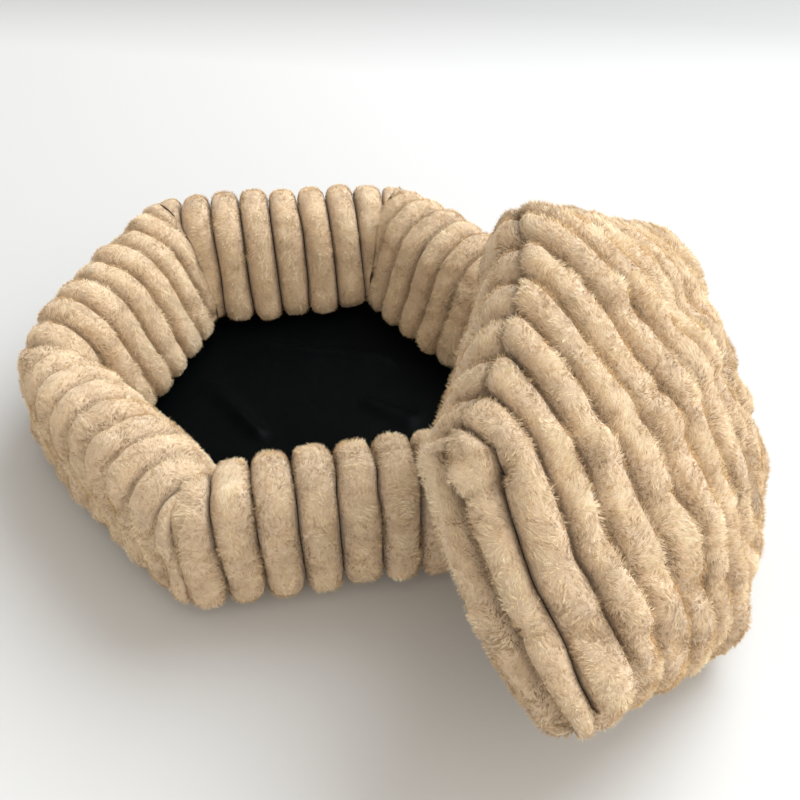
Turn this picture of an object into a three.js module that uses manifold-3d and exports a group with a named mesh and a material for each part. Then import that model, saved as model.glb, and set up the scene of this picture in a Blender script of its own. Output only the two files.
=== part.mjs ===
import * as THREE from 'three';
import Module from 'manifold-3d';

// A flower-shaped pet bed: six channelled plush walls sewn into a hexagonal ring around
// a base cloth, with its loose channelled cushion leaning on the front right corner.
// Millimetres, +Z up, the front wall faces -Y and the origin is under the middle of the ring.

// Driving dimensions
const RIB_PITCH = 32.8;
const RIB_DEPTH = 11;
const RIB_UNEVENNESS = 0.12;
const BOLSTER_OVERRUN = 45;
const MITRE_BLOCK = 600;
const MITRE_GAP = 0.3;
const SEAM_PINCH = 8;
const SEAM_REACH = 12;
const CORNER_REACH = 45;
const BASE_THICKNESS = 2;
const BASE_REACH = 1.04;
const PIECE_GAP = 0.3;
const CUSHION_PITCH = 31.5;
const CUSHION_FIRST_RIB = 31;
const CUSHION_GROOVES = 13;
const CUSHION_RIB_DEPTH = 12;
const CUSHION_RIB_MEAN = 0.5;
const CUSHION_SEAM_RIB = 5;
const CUSHION_SEAM_FLATNESS = 10;
const CUSHION_CROWN = { height: 85, roundness: 0.58 };
const CUSHION_BELLY = { height: 80, roundness: 0.42 };
const CUSHION_BOW = 13;
const CUSHION_ARCH = { height: 27, spread: 4 };
const CUSHION_CENTRE = new THREE.Vector3(209, -269, 151);
const CUSHION_TURN = { heading: 44.5, lean: 50.6, spin: -8 };
const CUSHION_CLEARANCE = 0.5;
const CUSHION_SEATS = ['wall_front', 'wall_front_right'];
const PRESS_STEP = 0.5;
const PRESS_LIMIT = 200;

// Corners of the ring on the middle line of its walls: x, y, share of the full height,
// how blunt the corner is outside
const RING_CORNERS = {
  frontLeft: [-105, -198, 1.06, 2],
  frontRight: [115, -202, 1.07, 6],
  right: [224, -4, 0.98, 8],
  backRight: [116, 200, 0.96, 6],
  backLeft: [-115, 203, 1.03, 2],
  left: [-235, 0, 1.03, 38],
};

// Walls: name, first corner, last corner, offset of one sewn groove from the wall's middle
const WALLS = [
  ['wall_front', 'frontLeft', 'frontRight', -2],
  ['wall_front_right', 'frontRight', 'right', 4],
  ['wall_back_right', 'right', 'backRight', -5],
  ['wall_back', 'backRight', 'backLeft', 14],
  ['wall_back_left', 'backLeft', 'left', -13],
  ['wall_front_left', 'left', 'frontLeft', -8],
];

// Section over a rib's crest, from the outer foot over the top to the inner foot:
// outward reach from the middle line, height above the base cloth
const WALL_SECTION = [
  [27, 0],
  [48, 5],
  [56, 17],
  [57, 40],
  [58, 62],
  [60, 82],
  [56, 105],
  [45, 120],
  [27, 127],
  [6, 124],
  [-14, 114],
  [-28, 100],
  [-38, 77],
  [-48, 52],
  [-57, 30],
  [-58, 10],
  [-42, 0],
];

const WALL_WIDEST = Math.max(...WALL_SECTION.map(([reach]) => reach));
const WALL_HEIGHT = Math.max(...WALL_SECTION.map(([, height]) => height));

// Stations across one rib, from groove to groove: share of the pitch, share of the full height
const RIB_PROFILE = [
  [0, 0],
  [0.2, 0.78],
  [0.5, 1],
  [0.8, 0.78],
];

// Soft folds of the base cloth: start x, start y, end x, end y, height, half width
const BASE_FOLDS = [
  [-100, 50, -58, -34, 5, 20],
  [-40, 104, 92, 58, 4, 18],
  [60, -12, 98, -46, 4, 18],
  [-70, -112, 30, -78, 3, 16],
];
const BASE_RINGS = [0, 0.15, 0.28, 0.4, 0.5, 0.6, 0.68, 1];
const BASE_SPOKES = 36;

// Corners of the cushion's edge seam in its own plane: across the ribs, along them, lift
const CUSHION_CORNERS = [
  [12, 197, 6],
  [-158, 84, 8],
  [-201, -94, 44],
  [6, -187, -5],
  [159, -121, -22],
  [180, 124, -8],
];
const CUSHION_STEPS = 16;
const CUSHION_SAMPLES = 240;
const SLOPE_STEP = 0.004;
const ON_SEAM = 0.999;

// How far each groove bends across for one share of its length past the bend, from the
// left seam to the right seam
const CUSHION_DRIFT = [0, -12, 6, 24, 46, 46, 40, 30, 24, 18, 12, 8, 4, 0, 0];
const CUSHION_BEND_SHARE = -0.35;

const PLUSH_LIGHT = 0xc9ab86;
const PLUSH_DARK = 0xbd9e79;
const BASE_BLACK = 0x0b0c10;

const wasm = await Module();
wasm.setup();

// A small repeatable unevenness between -1 and 1
function uneven(a, b) {
  return Math.sin(a * 2.3 + b * 4.1) * 0.6 + Math.sin(a * 5.9 - b * 1.7) * 0.4;
}

function geometryFrom(vertices, triangles) {
  const geometry = new THREE.BufferGeometry();
  geometry.setAttribute('position', new THREE.Float32BufferAttribute(vertices, 3));
  geometry.setIndex(triangles);
  return geometry;
}

function solidFrom(geometry) {
  const vertProperties = new Float32Array(geometry.attributes.position.array);
  const triVerts = new Uint32Array(geometry.index.array);
  return new wasm.Manifold(new wasm.Mesh({ numProp: 3, vertProperties, triVerts }));
}

function geometryOf(solid) {
  const mesh = solid.getMesh();
  const geometry = geometryFrom(Array.from(mesh.vertProperties), Array.from(mesh.triVerts));
  return geometry;
}

function cloth(name, geometry, color, roughness) {
  geometry.computeVertexNormals();
  const mesh = new THREE.Mesh(
    geometry,
    new THREE.MeshStandardMaterial({ color, roughness, metalness: 0 }),
  );
  mesh.name = name;
  return mesh;
}

// Straight lines between the rows of a table give a value at any place
function along(rows, place) {
  let i = 1;
  while (i < rows.length - 1 && rows[i][0] < place) i += 1;
  const [a, b] = [rows[i - 1], rows[i]];
  const share = THREE.MathUtils.clamp((place - a[0]) / (b[0] - a[0]), 0, 1);
  return a[1] + (b[1] - a[1]) * share;
}

// Outward normals of the wall's section, level at its flat foot
function sectionNormals() {
  const count = WALL_SECTION.length;
  return WALL_SECTION.map(([, height], i) => {
    const before = WALL_SECTION[(i + count - 1) % count];
    const after = WALL_SECTION[(i + 1) % count];
    const normal = new THREE.Vector2(after[1] - before[1], before[0] - after[0]).normalize();
    if (height === 0) normal.set(Math.sign(normal.x), 0);
    return normal;
  });
}

// Middle, direction and end planes of one wall
function wallFrame(from, to) {
  const names = Object.keys(RING_CORNERS);
  const corner = (index) => {
    const [x, y] = RING_CORNERS[names[(index + names.length) % names.length]];
    return new THREE.Vector2(x, y);
  };
  const first = names.indexOf(from);
  const start = corner(first);
  const end = corner(first + 1);
  const direction = end.clone().sub(start).normalize();
  const before = start.clone().sub(corner(first - 1)).normalize();
  const after = corner(first + 2).sub(end).normalize();
  const angle = direction.angle();
  const middle = start.clone().add(end).multiplyScalar(0.5);
  const local = (vector) => vector.clone().rotateAround(new THREE.Vector2(), -angle);
  return {
    middle,
    angle,
    halfLength: start.distanceTo(end) / 2,
    startNormal: local(before.add(direction).normalize()),
    endNormal: local(after.add(direction).normalize()),
    startHeight: RING_CORNERS[from][2],
    endHeight: RING_CORNERS[to][2],
    startBluntness: RING_CORNERS[from][3],
    endBluntness: RING_CORNERS[to][3],
    outward: new THREE.Vector2(direction.y, -direction.x),
  };
}

// Share of the full height at a place along the wall
function heightShare(frame, x) {
  const place = THREE.MathUtils.clamp(0.5 + x / (2 * frame.halfLength), 0, 1);
  return THREE.MathUtils.lerp(frame.startHeight, frame.endHeight, place);
}

// How far the plush is drawn in at a point of the wall: tightly at both mitre seams, and
// on the outside over a longer reach, which blunts the corner
function seamDraw(frame, x, y) {
  const outside = Math.max(-y, 0) / WALL_WIDEST;
  const fromStart = (x + frame.halfLength) * frame.startNormal.x + y * frame.startNormal.y;
  const fromEnd = (frame.halfLength - x) * frame.endNormal.x - y * frame.endNormal.y;
  const draw = (distance, bluntness) => {
    const away = Math.max(distance, 0);
    const pinch = SEAM_PINCH * Math.exp(-away / SEAM_REACH);
    return pinch + bluntness * outside * Math.exp(-away / CORNER_REACH);
  };
  return draw(fromStart, frame.startBluntness) + draw(fromEnd, frame.endBluntness);
}

// One channelled bolster, longer than its wall, drawn in beside both mitre seams, with its
// whole surface moved out by a margin
function bolsterGeometry(frame, grooveOffset, margin) {
  const normals = sectionNormals();
  const ribs = Math.ceil((frame.halfLength + BOLSTER_OVERRUN) / RIB_PITCH);
  const stations = [];
  for (let rib = -ribs; rib < ribs; rib += 1) {
    for (const [share, rise] of RIB_PROFILE) {
      const height = rise * (1 + RIB_UNEVENNESS * uneven(rib, grooveOffset));
      stations.push({ x: (rib + share) * RIB_PITCH + grooveOffset, sink: RIB_DEPTH * (1 - height) });
    }
  }
  const vertices = [];
  const triangles = [];
  const count = WALL_SECTION.length;
  for (const { x, sink } of stations) {
    WALL_SECTION.forEach(([reach, height], j) => {
      const inward = sink + seamDraw(frame, x, -reach) - margin;
      const out = reach - normals[j].x * inward;
      const level = height * heightShare(frame, x) - normals[j].y * inward;
      vertices.push(x, -out, level);
    });
  }
  for (let i = 0; i + 1 < stations.length; i += 1) {
    for (let j = 0; j < count; j += 1) {
      const a = i * count + j;
      const b = i * count + ((j + 1) % count);
      triangles.push(a, a + count, b, b, a + count, b + count);
    }
  }
  const last = (stations.length - 1) * count;
  for (let j = 1; j + 1 < count; j += 1) {
    triangles.push(0, j, j + 1, last, last + j + 1, last + j);
  }
  return geometryFrom(vertices, triangles);
}

// A block that covers everything beyond one mitre plane
function mitreBlock(place, normal) {
  const block = new THREE.BoxGeometry(MITRE_BLOCK, MITRE_BLOCK, MITRE_BLOCK);
  block.deleteAttribute('normal');
  block.deleteAttribute('uv');
  block.translate((MITRE_BLOCK - MITRE_GAP) / 2, 0, 0);
  block.rotateZ(Math.atan2(normal.y, normal.x));
  block.translate(place, 0, 0);
  return merged(block);
}

// The same mesh with its coincident vertices made one
function merged(geometry) {
  const position = geometry.attributes.position;
  const places = new Map();
  const vertices = [];
  const indexOf = [];
  for (let i = 0; i < position.count; i += 1) {
    const point = [position.getX(i), position.getY(i), position.getZ(i)];
    const key = point.map((value) => value.toFixed(3)).join(' ');
    if (!places.has(key)) {
      places.set(key, vertices.length / 3);
      vertices.push(...point);
    }
    indexOf.push(places.get(key));
  }
  return geometryFrom(vertices, Array.from(geometry.index.array, (index) => indexOf[index]));
}

// The bolster cut to its wall's length at both mitre planes
function wallSolid(frame, grooveOffset, margin) {
  const bolster = solidFrom(bolsterGeometry(frame, grooveOffset, margin));
  const start = solidFrom(mitreBlock(-frame.halfLength, frame.startNormal.clone().negate()));
  const end = solidFrom(mitreBlock(frame.halfLength, frame.endNormal));
  // A groove that grazes the mitre plane can leave a sliver there: only the wall is kept
  const bodies = bolster.subtract(start).subtract(end).decompose();
  return bodies.sort((a, b) => b.volume() - a.volume())[0];
}

function wall([name, from, to, grooveOffset], index) {
  const frame = wallFrame(from, to);
  const color = index % 2 ? PLUSH_DARK : PLUSH_LIGHT;
  const mesh = cloth(name, geometryOf(wallSolid(frame, grooveOffset, 0)), color, 0.95);
  mesh.position.set(frame.middle.x, frame.middle.y, BASE_THICKNESS + PIECE_GAP);
  mesh.rotation.z = frame.angle;
  mesh.updateMatrix();
  return mesh;
}

// Height of the base cloth's folds over a point
function foldHeight(x, y) {
  let height = 0;
  for (const [x0, y0, x1, y1, rise, halfWidth] of BASE_FOLDS) {
    const line = new THREE.Line3(new THREE.Vector3(x0, y0, 0), new THREE.Vector3(x1, y1, 0));
    const point = new THREE.Vector3(x, y, 0);
    const nearest = line.closestPointToPoint(point, true, new THREE.Vector3());
    const away = nearest.distanceTo(point) / halfWidth;
    height = Math.max(height, rise * Math.max(0, 1 - away * away));
  }
  return height;
}

// The base cloth: a thin hexagonal sheet, flat under the walls and with soft folds inside
function baseCloth() {
  const outline = Object.values(RING_CORNERS).map(([x, y]) => new THREE.Vector2(x, y));
  const rim = (spoke) => {
    const place = (spoke / BASE_SPOKES) * outline.length;
    const side = Math.floor(place) % outline.length;
    const next = outline[(side + 1) % outline.length];
    return outline[side].clone().lerp(next, place - Math.floor(place)).multiplyScalar(BASE_REACH);
  };
  const vertices = [];
  const triangles = [];
  const layer = (thickness) => {
    const first = vertices.length / 3;
    vertices.push(0, 0, thickness);
    for (const share of BASE_RINGS.slice(1)) {
      for (let spoke = 0; spoke < BASE_SPOKES; spoke += 1) {
        const point = rim(spoke).multiplyScalar(share);
        vertices.push(point.x, point.y, thickness + foldHeight(point.x, point.y));
      }
    }
    return first;
  };
  const bottom = layer(0);
  const top = layer(BASE_THICKNESS);
  const at = (first, ring, spoke) => {
    if (ring === 0) return first;
    return first + 1 + (ring - 1) * BASE_SPOKES + (spoke % BASE_SPOKES);
  };
  const rings = BASE_RINGS.length - 1;
  for (let spoke = 0; spoke < BASE_SPOKES; spoke += 1) {
    triangles.push(top, at(top, 1, spoke), at(top, 1, spoke + 1));
    triangles.push(bottom, at(bottom, 1, spoke + 1), at(bottom, 1, spoke));
    for (let ring = 1; ring < rings; ring += 1) {
      const [a, b] = [at(top, ring, spoke), at(top, ring, spoke + 1)];
      const [c, d] = [at(top, ring + 1, spoke), at(top, ring + 1, spoke + 1)];
      triangles.push(a, c, d, a, d, b);
      const drop = bottom - top;
      triangles.push(a + drop, d + drop, c + drop, a + drop, b + drop, d + drop);
    }
    const [c, d] = [at(top, rings, spoke), at(top, rings, spoke + 1)];
    const [e, f] = [at(bottom, rings, spoke), at(bottom, rings, spoke + 1)];
    triangles.push(c, e, f, c, f, d);
  }
  return cloth('base_cloth', geometryFrom(vertices, triangles), BASE_BLACK, 0.45);
}

// Where the cushion's own plane lies
function cushionPlacement() {
  const turn = (axis, degrees) => {
    const angle = THREE.MathUtils.degToRad(degrees);
    return new THREE.Matrix4().makeRotationAxis(axis, angle);
  };
  const up = new THREE.Vector3(0, 0, 1);
  const placement = new THREE.Matrix4().makeTranslation(CUSHION_CENTRE);
  placement.multiply(turn(up, CUSHION_TURN.heading));
  placement.multiply(turn(new THREE.Vector3(1, 0, 0), CUSHION_TURN.lean));
  placement.multiply(turn(up, CUSHION_TURN.spin));
  return placement;
}

// Point on the cushion's middle sheet: across runs over the ribs and share along each, -1 to 1
function seamSheet(across, share) {
  const [top, upper, lower, bottom, farLower, farUpper] = CUSHION_CORNERS.map(
    (corner) => new THREE.Vector3(...corner),
  );
  const reach = Math.abs(across);
  const end = top.clone().lerp(across < 0 ? upper : farUpper, reach);
  const start = bottom.clone().lerp(across < 0 ? lower : farLower, reach);
  const point = start.lerp(end, (share + 1) / 2);
  point.x -= CUSHION_BOW * (1 - share * share) * Math.max(0, -across) ** 2;
  return point;
}

// How near the edge seam a point lies: 0 in the middle, 1 on the seam
function edgeShare(across, share) {
  const reach = share * (2 - Math.abs(across)) / Math.sqrt(3);
  const slanted = Math.abs(across) / 2 + Math.abs(reach) * Math.sqrt(3) / 2;
  return Math.min(Math.max(Math.abs(across), slanted), 1);
}

// A face without its ribs; near the upper left edge both faces lift with the arched seam
function smoothFace(across, share, side) {
  const { height, roundness } = side > 0 ? CUSHION_CROWN : CUSHION_BELLY;
  const point = seamSheet(across, share);
  const edge = edgeShare(across, share);
  const left = Math.max(0, -across);
  const arch = 4 * left * (1 - left) * Math.max(0, share) ** 2 * edge ** CUSHION_ARCH.spread;
  point.z += side * height * (1 - edge ** 2) ** roundness + CUSHION_ARCH.height * arch;
  return point;
}

// The curved middle line across the cushion, as places along it and the matching across
function middleLine() {
  const places = [[0, -1]];
  let length = 0;
  let previous = smoothFace(-1, 0, 1);
  for (let i = 1; i <= CUSHION_SAMPLES; i += 1) {
    const across = -Math.cos((Math.PI * i) / CUSHION_SAMPLES);
    const point = smoothFace(across, 0, 1);
    length += point.distanceTo(previous);
    previous = point;
    places.push([length, across]);
  }
  return places;
}

// Stations across the cushion: the rib, the share of its width and the rise there
function cushionStations(length) {
  const grooves = [0];
  for (let i = 0; i < CUSHION_GROOVES; i += 1) {
    grooves.push(CUSHION_FIRST_RIB + i * CUSHION_PITCH);
  }
  grooves.push(length);
  const stations = [];
  for (let i = 0; i + 1 < grooves.length; i += 1) {
    for (const [within, rise] of RIB_PROFILE) {
      const place = THREE.MathUtils.lerp(grooves[i], grooves[i + 1], within);
      const drift = THREE.MathUtils.lerp(CUSHION_DRIFT[i], CUSHION_DRIFT[i + 1], within);
      stations.push({ place, drift, rise, rib: i });
    }
  }
  stations.push({ place: length, drift: 0, rise: 0, rib: grooves.length });
  return stations;
}

// True where a point lies inside the ring's walls or closer to them than the clearance
function insideRing(point) {
  let reach = -Infinity;
  let share = 1;
  for (const [, from, to] of WALLS) {
    const frame = wallFrame(from, to);
    const offset = new THREE.Vector2(point.x, point.y).sub(frame.middle);
    const away = offset.dot(frame.outward);
    if (away > reach) {
      reach = away;
      share = heightShare(frame, offset.rotateAround(new THREE.Vector2(), -frame.angle).x);
    }
  }
  const height = (point.z - BASE_THICKNESS - PIECE_GAP) / share;
  if (height > WALL_HEIGHT + CUSHION_CLEARANCE) return false;
  const level = Math.min(height, WALL_HEIGHT);
  const crown = WALL_SECTION.findIndex(([, z]) => z === WALL_HEIGHT);
  const outer = WALL_SECTION.slice(0, crown + 1).map(([u, z]) => [z, u]);
  const inner = WALL_SECTION.slice(crown).map(([u, z]) => [z, u]).reverse();
  const within = reach < along(outer, level) + CUSHION_CLEARANCE;
  return within && reach > along(inner, level) - CUSHION_CLEARANCE;
}

// The pillow less the dents of the two walls that it leans on, a small gap from each
function pressedAgainstWalls(pillow) {
  let pressed = solidFrom(pillow);
  for (const row of WALLS.filter(([name]) => CUSHION_SEATS.includes(name))) {
    const [, from, to, grooveOffset] = row;
    const dent = geometryOf(wallSolid(wallFrame(from, to), grooveOffset, PIECE_GAP));
    dent.applyMatrix4(wall(row, 0).matrix);
    pressed = pressed.subtract(solidFrom(dent));
  }
  return geometryOf(pressed);
}

// The filled cushion: ribs on both faces, drawn in at the edge seam, flat on the floor,
// and pressed in where it leans on the walls
function cushion() {
  const placement = cushionPlacement();
  const facing = new THREE.Vector3().setFromMatrixColumn(placement, 2);
  const places = middleLine();
  const stations = cushionStations(places[CUSHION_SAMPLES][0]);
  const vertices = [];
  const triangles = [];
  const shares = [];
  for (let j = 0; j <= CUSHION_STEPS; j += 1) {
    shares.push(-Math.cos((Math.PI * j) / CUSHION_STEPS));
  }
  const pointAt = ({ place, drift, rise, rib }, share, side) => {
    const bend = drift * Math.max(CUSHION_BEND_SHARE - share, 0);
    const across = along(places, place + bend);
    const point = smoothFace(across, share, side);
    const edge = edgeShare(across, share);
    const ahead = smoothFace(Math.min(across + SLOPE_STEP, 1), share, side);
    const behind = smoothFace(Math.max(across - SLOPE_STEP, -1), share, side);
    const further = smoothFace(across, Math.min(share + SLOPE_STEP, 1), side);
    const nearer = smoothFace(across, Math.max(share - SLOPE_STEP, -1), side);
    const normal = ahead.sub(behind).cross(further.sub(nearer)).normalize().multiplyScalar(side);
    const height = rise * (1 + RIB_UNEVENNESS * uneven(rib, side + share)) - CUSHION_RIB_MEAN;
    const relief = CUSHION_RIB_DEPTH * height * (1 - edge ** CUSHION_SEAM_FLATNESS);
    point.addScaledVector(normal, relief);
    if (edge > ON_SEAM) {
      const outward = new THREE.Vector3(point.x, point.y, 0).normalize();
      point.addScaledVector(outward, CUSHION_SEAM_RIB * height);
    }
    point.applyMatrix4(placement);
    for (let press = 0; press < PRESS_LIMIT && insideRing(point); press += 1) {
      point.addScaledVector(facing, PRESS_STEP);
    }
    point.z = Math.max(point.z, 0);
    return point;
  };
  const indexOf = (side) => stations.map(() => new Array(shares.length).fill(side));
  const front = indexOf(1);
  const back = indexOf(-1);
  stations.forEach((station, i) => {
    shares.forEach((share, j) => {
      const onSeam = i === 0 || i === stations.length - 1 || j === 0 || j === shares.length - 1;
      front[i][j] = vertices.length / 3;
      vertices.push(...pointAt(station, share, 1).toArray());
      back[i][j] = front[i][j];
      if (!onSeam) {
        back[i][j] = vertices.length / 3;
        vertices.push(...pointAt(station, share, -1).toArray());
      }
    });
  });
  for (let i = 0; i + 1 < stations.length; i += 1) {
    for (let j = 0; j + 1 < shares.length; j += 1) {
      const [a, b, c, d] = [front[i][j], front[i + 1][j], front[i + 1][j + 1], front[i][j + 1]];
      triangles.push(a, b, c, a, c, d);
      const [e, f, g, h] = [back[i][j], back[i + 1][j], back[i + 1][j + 1], back[i][j + 1]];
      triangles.push(e, g, f, e, h, g);
    }
  }
  const pillow = geometryFrom(vertices, triangles);
  return cloth('cushion', pressedAgainstWalls(pillow), PLUSH_LIGHT, 0.95);
}

const bed = new THREE.Group();
WALLS.forEach((row, index) => bed.add(wall(row, index)));
bed.add(baseCloth());
bed.add(cushion());

export default bed;
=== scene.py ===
import math
import bmesh
import bpy
import numpy as np
from mathutils import Matrix, Vector


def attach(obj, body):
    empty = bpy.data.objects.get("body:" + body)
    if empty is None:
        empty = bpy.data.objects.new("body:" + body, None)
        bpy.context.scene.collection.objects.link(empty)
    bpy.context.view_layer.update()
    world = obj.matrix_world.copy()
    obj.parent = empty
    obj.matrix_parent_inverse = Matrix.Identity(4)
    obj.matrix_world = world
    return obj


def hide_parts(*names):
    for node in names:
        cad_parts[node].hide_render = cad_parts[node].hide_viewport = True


# A flower-shaped pet bed: six channelled plush walls round a black base cloth, with its
# loose channelled cushion leaning on one corner. The tables and the mesh code below work in
# millimetres, and MM turns their lengths into Blender's metres.

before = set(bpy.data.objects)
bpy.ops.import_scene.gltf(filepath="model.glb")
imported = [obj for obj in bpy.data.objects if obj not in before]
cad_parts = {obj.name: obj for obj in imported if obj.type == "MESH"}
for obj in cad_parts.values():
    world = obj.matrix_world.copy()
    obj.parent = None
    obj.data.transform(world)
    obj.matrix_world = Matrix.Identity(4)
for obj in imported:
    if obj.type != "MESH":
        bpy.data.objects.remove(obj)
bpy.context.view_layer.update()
MM = 0.001

# Sizes and tables of the ring, its base cloth and the cushion, as in the part's source
RIB_PITCH = 32.8
RIB_DEPTH = 11
SEAM_PINCH = 8
SEAM_REACH = 12
CORNER_REACH = 45
WALL_FLOOR = 2.3
BASE_REACH = 1.04
CUSHION_PITCH = 31.5
CUSHION_FIRST_RIB = 31
CUSHION_GROOVES = 13
CUSHION_RIB_DEPTH = 12
CUSHION_CROWN = (85, 0.58)
CUSHION_BELLY = (80, 0.42)
CUSHION_BOW = 13
CUSHION_ARCH = (27, 4)
CUSHION_CENTRE = (209, -269, 151)
CUSHION_TURN = (44.5, 50.6, -8)
CUSHION_CLEARANCE = 0.5

# x, y, share of the full height, bluntness outside
RING_CORNERS = {
    "frontLeft": (-105, -198, 1.06, 2),
    "frontRight": (115, -202, 1.07, 6),
    "right": (224, -4, 0.98, 8),
    "backRight": (116, 200, 0.96, 6),
    "backLeft": (-115, 203, 1.03, 2),
    "left": (-235, 0, 1.03, 38),
}

# node, first corner, last corner, offset of one sewn groove
WALLS = [
    ("wall_front", "frontLeft", "frontRight", -2),
    ("wall_front_right", "frontRight", "right", 4),
    ("wall_back_right", "right", "backRight", -5),
    ("wall_back", "backRight", "backLeft", 14),
    ("wall_back_left", "backLeft", "left", -13),
    ("wall_front_left", "left", "frontLeft", -8),
]

# outward reach, height above the base cloth, from the outer foot over the top
WALL_SECTION = [
    (27, 0), (48, 5), (56, 17), (57, 40), (58, 62), (60, 82), (56, 105), (45, 120), (27, 127),
    (6, 124), (-14, 114), (-28, 100), (-38, 77), (-48, 52), (-57, 30), (-58, 10), (-42, 0),
]

# across the ribs, along them, lift: top, upper, lower, bottom, far lower, far upper
CUSHION_CORNERS = [
    (12, 197, 6), (-158, 84, 8), (-201, -94, 44), (6, -187, -5), (159, -121, -22), (180, 124, -8),
]

# how far each groove bends across towards the cushion's lower end, from the left seam on
CUSHION_DRIFT = [0, -12, 6, 24, 46, 46, 40, 30, 24, 18, 12, 8, 4, 0, 0]
CUSHION_BEND_SHARE = -0.35

# start x, y, end x, y, height, half width, which is less than in the part's source
BASE_FOLDS = [
    (-100, 50, -58, -34, 5, 11),
    (-40, 104, 92, 58, 4, 10),
    (60, -12, 98, -46, 4, 10),
    (-70, -112, 30, -78, 3, 9),
]

# Forms of the cushion's front that only this script has
CUSHION_HALF_LENGTH = 190

# the crease where the front folds over: place across the ribs, share along them
CUSHION_FOLD = [(0, -0.2), (30, -0.3), (60, -0.45), (90, -0.55), (120, -0.7), (150, -0.85)]
FOLD_DEPTH = 7
FOLD_RUN_OUT = 30

# bumps and dents: place across, share along, half width, half length, height
CUSHION_BUMPS = [
    (7, 0.82, 6, 17, 9),
    (9, 0.66, 10, 6, -6),
    (34, 0.66, 9, 12, -16),
    (31, 0.97, 14, 12, 6),
]

# Grooves: how much deeper than the solids' they are sewn, how steeply, how far they wander,
# and how far the cushion is drawn in along its seam
GROOVE_DEEPER = 12
CUSHION_DEEPER = 10
GROOVE_POWER = 1.4
WALL_WANDER = 1.6
CUSHION_WANDER = (3.6, 1.8)
CUSHION_PINCH = 6
CUSHION_PINCH_REACH = 7

# how far a wall's grid keeps inside its mitre planes, the most that its foot is drawn in, and
# how far its widest place stands out from its middle
MITRE_GAP = 0.3
FOOT_DRAW = 14
WALL_HALF_WIDTH = 60

# Stuffing: unevenness from rib to rib, soft lumps, and the dents where a lump ends
RIB_UNEVENNESS = 0.12
WALL_LUMPS = 0.1
WALL_LUMP_SIZES = (26, 12)
CUSHION_LUMPS = 3.6
CUSHION_LUMP_SIZES = (40, 17)
WALL_CREASE = 3.5
CUSHION_CREASE = 8.5
WALL_LUMP_LENGTH = 62
CUSHION_LUMP_LENGTH = 58

# Pile: how far the woven back lies under the tips, and the strands' sizes and numbers
PILE_SINK = 2.6
STRAND_LENGTH = 4.7
STRAND_WIDTH = 0.36
TUFT_SIZE = 6.0
LOCK_SIZE = 2.2
GROOVE_SHADE = 2.2
WALL_STRANDS = 88000
CUSHION_FRONT_STRANDS = 195000
CUSHION_BACK_STRANDS = 85000

# How the strands lie: along the rib, in swirls, up to its crest, their tuft's and lock's way, and chance
LIE_ALONG = 0.3
LIE_SWIRL = 1.2
LIE_CREST = 1.9
LIE_TUFT = 0.35
LIE_LOCK = 0.7
LIE_CHANCE = 0.2
STRAND_LEAN = 1.7
LOCK_GATHER = 0.6

# How light the strands are: in all, by tuft, lock and chance, at borders as painted shade, in clouds, and by
# their lie as painted light
TONE = 1.14
TONE_TUFT = 0.2
TONE_LOCK = 0.36
TONE_CHANCE = 0.2
TUFT_GAP_PAINTED_SHADE = 0.2
LOCK_GAP_PAINTED_SHADE = 0.14
TONE_WIDE_CLOUDS = 0.08
TONE_CLOUDS = 0.18
NAP_PAINTED_LIGHT = 0.18

# Fineness of the grids
RIB_STEPS = 10
SECTION_STEPS = 72
FOOT_STEPS = 6
CUSHION_ALONG = 56
CUSHION_ACROSS = 240
CLOTH_SPOKES = 72
CLOTH_RINGS = 48

# how square a rib is across: 2 is round
RIB_FATNESS = 2.5
RIB_SHARES = (1 - np.cos(np.pi * np.arange(RIB_STEPS) / RIB_STEPS)) / 2


# Camera
def make_camera():
    """The camera where the photograph was taken from, fitted to the ring's corners and grooves."""
    data = bpy.data.cameras.new("camera")
    data.lens = 41.54
    data.sensor_width = 36
    camera = bpy.data.objects.new("camera", data)
    bpy.context.scene.collection.objects.link(camera)
    yaw, pitch, roll = 0.1728, 0.7276, -0.0223
    ahead = Vector((math.sin(yaw) * math.cos(pitch), math.cos(yaw) * math.cos(pitch), -math.sin(pitch)))
    level = Vector((math.cos(yaw), -math.sin(yaw), 0))
    over = level.cross(ahead)
    right = math.cos(roll) * level + math.sin(roll) * over
    up = -math.sin(roll) * level + math.cos(roll) * over
    turn = Matrix((right, up, -ahead)).transposed()
    camera.matrix_world = Matrix.Translation((-0.0321, -0.7266, 0.6461)) @ turn.to_4x4()
    bpy.context.scene.camera = camera


# Noise
HASH_AXES = (73856093, 19349663, 83492791)
HASH_SEED = 2654435761
HASH_FIRST = 1274126177
HASH_SECOND = 2246822519
HASH_STEP = 668265263
HASH_LIMIT = 0xFFFFFFFF


def hashed(cells, seed):
    """Three numbers from 0 to 1 for each integer cell."""
    c = cells.astype(np.int64)
    h = (c[..., 0] * HASH_AXES[0]) ^ (c[..., 1] * HASH_AXES[1]) ^ (c[..., 2] * HASH_AXES[2])
    h = h ^ (seed * HASH_SEED)
    out = []
    for k in range(3):
        h = ((h ^ (h >> 13)) * HASH_FIRST + k * HASH_STEP) & HASH_LIMIT
        h = ((h ^ (h >> 16)) * HASH_SECOND) & HASH_LIMIT
        out.append((h ^ (h >> 15)) / HASH_LIMIT)
    return np.stack(out, -1)


def noise(points, size, seed):
    """Smooth noise, three numbers from -1 to 1 for each point, with bumps of about that size."""
    p = np.asarray(points, float) / size
    cell = np.floor(p)
    f = p - cell
    f = f * f * (3 - 2 * f)
    total = np.zeros(p.shape)
    for dx in (0, 1):
        for dy in (0, 1):
            for dz in (0, 1):
                corner = hashed(cell + (dx, dy, dz), seed)
                w = (f[..., 0] if dx else 1 - f[..., 0])
                w = w * (f[..., 1] if dy else 1 - f[..., 1])
                w = w * (f[..., 2] if dz else 1 - f[..., 2])
                total += corner * w[..., None]
    return total * 2 - 1


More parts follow.
